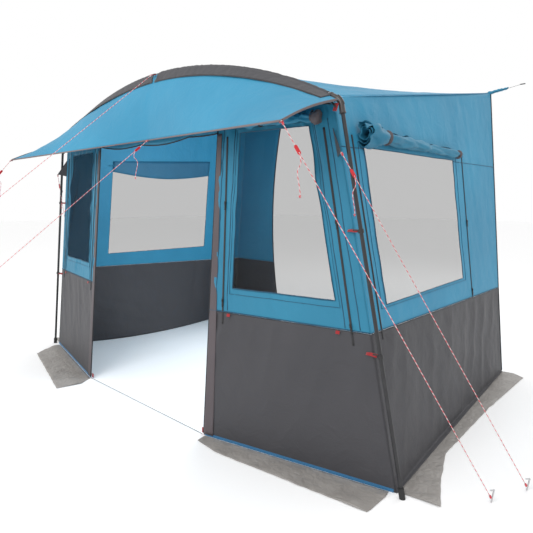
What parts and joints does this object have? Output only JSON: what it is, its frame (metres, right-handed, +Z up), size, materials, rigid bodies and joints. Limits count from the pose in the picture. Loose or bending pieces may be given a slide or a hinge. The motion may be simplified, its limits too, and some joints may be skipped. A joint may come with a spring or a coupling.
{
  "type": "tunnel tent",
  "caption": "Awning tent on one arched pole, with a doorway canopy, side windows, grey lower panels, mud skirts, zips and guy ropes.",
  "frame": {"origin": "centre of the footprint without the guy ropes, on the ground", "axes": "+X to the tent's right seen from the front, +Y back towards the open rear edge, +Z up"},
  "size_m": [4.3234, 4.2881, 2.193],
  "materials": {
    "leg": "satin",
    "arch": "satin",
    "elbow": "moulded, slightly glossy",
    "rubber": "matt",
    "sky": "coated woven polyester",
    "grey": "coated woven polyester",
    "film": "clear soft film",
    "mesh": "dark window film with mesh",
    "cover": "rolled coated polyester",
    "skirt": "wrinkled polyethylene sheet",
    "zip": "zip tape with moulded teeth",
    "slider": "gloss",
    "rope": "braided cord",
    "runner": "moulded",
    "peg": "zinc plated",
    "tape": "woven tape",
    "cord": "braided cord",
    "red_web": "woven webbing",
    "hook": "moulded",
    "web": "woven webbing"
  },
  "bodies": {
    "tent": {"leg_upper_right": "leg", "leg_upper_left": "leg", "leg_lower_right": "leg", "leg_lower_left": "leg", "elbow_right": "elbow", "elbow_left": "elbow", "arch_middle": "arch", "arch_right": "arch", "arch_left": "arch", "foot_caps": "rubber", "roof": "sky", "arch_sleeve": "grey", "canopy": "sky", "door_header": "sky", "wall_right": "sky", "wall_left": "sky", "wall_base_right": "grey", "wall_base_left": "grey", "front_right": "sky", "front_left": "sky", "front_base_right": "grey", "front_base_left": "grey", "window_right": "film", "window_left": "film", "window_front": "film", "mesh_window": "mesh", "cover_right": "cover", "cover_left": "cover", "cover_front": "cover", "front_zips": "zip", "side_zips": "zip", "guy_top": "rope", "guy_middle": "rope", "guy_tip_right": "rope", "guy_tip_left": "rope", "guy_pole_right": "rope", "guy_pole_left": "rope", "pegs_front": "peg", "pegs_side": "peg", "hem_tape": "tape", "door_sill_cord": "cord", "webbing_tabs": "red_web", "pole_hooks": "hook", "corner_patches": "grey", "rear_straps": "web"},
    "slider_in_high": {"slider_in_high": "slider"},
    "slider_in_low": {"slider_in_low": "slider"},
    "slider_out_high": {"slider_out_high": "slider"},
    "slider_out_low": {"slider_out_low": "slider"},
    "slider_side_high": {"slider_side_high": "slider"},
    "slider_side_low": {"slider_side_low": "slider"},
    "runner_middle": {"runner_middle": "runner"},
    "runner_tip_right": {"runner_tip_right": "runner"},
    "runner_tip_left": {"runner_tip_left": "runner"},
    "runner_pole_right": {"runner_pole_right": "runner"},
    "runner_pole_left": {"runner_pole_left": "runner"},
    "skirt_right": {"skirt_right": "skirt"},
    "skirt_left": {"skirt_left": "skirt"},
    "skirt_front_right": {"skirt_front_right": "skirt"},
    "skirt_front_left": {"skirt_front_left": "skirt"}
  },
  "joints": [
    {"name": "slider_in_high_slide", "type": "slide", "parent": "tent", "child": "slider_in_high", "axis": [-0.0309, 0.0803, 0.9963], "range_m": [-0.23, 0.32]},
    {"name": "slider_in_low_slide", "type": "slide", "parent": "tent", "child": "slider_in_low", "axis": [-0.0309, 0.0803, 0.9963], "range_m": [-0.1, 0.23]},
    {"name": "slider_out_high_slide", "type": "slide", "parent": "tent", "child": "slider_out_high", "axis": [-0.193, 0.0086, 0.9812], "range_m": [-0.23, 0.4]},
    {"name": "slider_out_low_slide", "type": "slide", "parent": "tent", "child": "slider_out_low", "axis": [-0.193, 0.0086, 0.9812], "range_m": [-0.06, 0.22]},
    {"name": "slider_side_high_slide", "type": "slide", "parent": "tent", "child": "slider_side_high", "axis": [-0.1321, 0, 0.9912], "range_m": [-0.3, 0.42]},
    {"name": "slider_side_low_slide", "type": "slide", "parent": "tent", "child": "slider_side_low", "axis": [-0.1321, 0, 0.9912], "range_m": [-0.03, 0.12]},
    {"name": "runner_middle_slide", "type": "slide", "parent": "tent", "child": "runner_middle", "axis": [-0.1944, -0.7347, -0.65], "range_m": [-0.04, 0.6]},
    {"name": "runner_tip_right_slide", "type": "slide", "parent": "tent", "child": "runner_tip_right", "axis": [0.3542, 0.3537, -0.8657], "range_m": [-0.06, 0.6]},
    {"name": "runner_tip_left_slide", "type": "slide", "parent": "tent", "child": "runner_tip_left", "axis": [-0.019, -0.6459, -0.7632], "range_m": [-0.06, 0.6]},
    {"name": "runner_pole_right_slide", "type": "slide", "parent": "tent", "child": "runner_pole_right", "axis": [0.4113, 0.2822, -0.8667], "range_m": [-0.05, 0.6]},
    {"name": "runner_pole_left_slide", "type": "slide", "parent": "tent", "child": "runner_pole_left", "axis": [-0.4113, 0.2822, -0.8667], "range_m": [-0.05, 0.6]},
    {"name": "skirt_right_fold", "type": "hinge", "parent": "tent", "child": "skirt_right", "pos_m": [1.733, -0.882, 0.001], "axis": [0.1067, -0.9943, 0], "range_deg": [0, 90]},
    {"name": "skirt_left_fold", "type": "hinge", "parent": "tent", "child": "skirt_left", "pos_m": [-1.733, -0.882, 0.001], "axis": [0.1067, 0.9943, 0], "range_deg": [0, 90]},
    {"name": "skirt_front_right_fold", "type": "hinge", "parent": "tent", "child": "skirt_front_right", "pos_m": [0.65886, -1.12491, 0.001], "axis": [-0.9764, -0.2161, 0], "range_deg": [0, 90]},
    {"name": "skirt_front_left_fold", "type": "hinge", "parent": "tent", "child": "skirt_front_left", "pos_m": [-0.65886, -1.12491, 0.001], "axis": [-0.9764, 0.2161, 0], "range_deg": [0, 90]}
  ]
}
